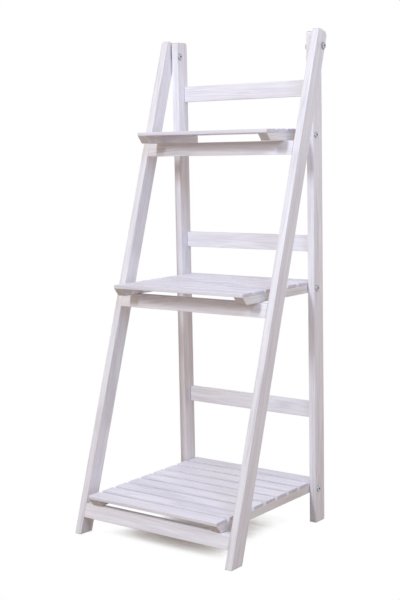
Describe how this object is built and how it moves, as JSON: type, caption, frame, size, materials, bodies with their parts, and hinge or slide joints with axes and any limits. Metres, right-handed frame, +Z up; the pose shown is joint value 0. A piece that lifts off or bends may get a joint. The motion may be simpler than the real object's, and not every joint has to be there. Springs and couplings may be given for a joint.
{
  "type": "plant ladder stand",
  "caption": "Folding A-frame plant stand: upright rear frame, leaning front frame hinged at the top, and slatted shelves that lift on the rear posts.",
  "frame": {"origin": "on the floor, under the middle of the opened stand's box", "axes": "+Z up, +X to the right seen from the front, the front with the leaning posts and shelf noses faces -Y"},
  "size_m": [0.3696, 0.34, 0.93],
  "materials": {
    "whitewashed_frame": "thin white wash over pine, satin",
    "whitewashed_cleats": "thin white wash over pine, satin",
    "whitewashed_slats": "thin white wash over pine, satin",
    "bare_wood": "bare beech",
    "dark_steel": "zinc-plated steel, dulled",
    "zinc_plate": "zinc-plated steel",
    "brass": "machined"
  },
  "bodies": {
    "rear_frame": {"rear_post_left": "whitewashed_frame", "rear_post_right": "whitewashed_frame", "rear_rail_bottom": "whitewashed_frame", "rear_rail_middle": "whitewashed_frame", "rear_rail_top": "whitewashed_frame", "rear_rail_dowels": "bare_wood", "pivot_bolts": "dark_steel", "pivot_spacers": "dark_steel", "pivot_cap_nuts": "dark_steel"},
    "front_frame": {"front_post_left": "whitewashed_frame", "front_post_right": "whitewashed_frame", "front_rail_bottom": "whitewashed_frame", "front_rail_middle": "whitewashed_frame", "front_rail_top": "whitewashed_frame", "front_rail_dowels": "bare_wood"},
    "bottom_shelf": {"bottom_cleat_left": "whitewashed_cleats", "bottom_cleat_right": "whitewashed_cleats", "bottom_slat_1": "whitewashed_slats", "bottom_slat_2": "whitewashed_slats", "bottom_slat_3": "whitewashed_slats", "bottom_slat_4": "whitewashed_slats", "bottom_slat_5": "whitewashed_slats", "bottom_slat_6": "whitewashed_slats", "bottom_slat_7": "whitewashed_slats", "bottom_slat_8": "whitewashed_slats", "bottom_slat_9": "whitewashed_slats", "bottom_pivot_screws": "dark_steel", "bottom_pivot_inserts": "brass", "bottom_slat_brads": "zinc_plate"},
    "middle_shelf": {"middle_cleat_left": "whitewashed_cleats", "middle_cleat_right": "whitewashed_cleats", "middle_slat_1": "whitewashed_slats", "middle_slat_2": "whitewashed_slats", "middle_slat_3": "whitewashed_slats", "middle_slat_4": "whitewashed_slats", "middle_slat_5": "whitewashed_slats", "middle_slat_6": "whitewashed_slats", "middle_slat_7": "whitewashed_slats", "middle_pivot_screws": "dark_steel", "middle_pivot_inserts": "brass", "middle_slat_brads": "zinc_plate"},
    "top_shelf": {"top_cleat_left": "whitewashed_cleats", "top_cleat_right": "whitewashed_cleats", "top_slat_1": "whitewashed_slats", "top_slat_2": "whitewashed_slats", "top_slat_3": "whitewashed_slats", "top_slat_4": "whitewashed_slats", "top_slat_5": "whitewashed_slats", "top_pivot_screws": "dark_steel", "top_pivot_inserts": "brass", "top_slat_brads": "zinc_plate"}
  },
  "joints": [
    {"name": "front_frame_fold", "type": "hinge", "parent": "rear_frame", "child": "front_frame", "pos_m": [0, 0.14227, 0.899], "axis": [1, 0, 0], "range_deg": [0, 17.5]},
    {"name": "bottom_shelf_lift", "type": "hinge", "parent": "rear_frame", "child": "bottom_shelf", "pos_m": [0, 0.144, 0.066], "axis": [-1, 0, 0], "range_deg": [0, 87]},
    {"name": "middle_shelf_lift", "type": "hinge", "parent": "rear_frame", "child": "middle_shelf", "pos_m": [0, 0.144, 0.4535], "axis": [-1, 0, 0], "range_deg": [0, 87]},
    {"name": "top_shelf_lift", "type": "hinge", "parent": "rear_frame", "child": "top_shelf", "pos_m": [0, 0.144, 0.7385], "axis": [-1, 0, 0], "range_deg": [0, 87]}
  ]
}
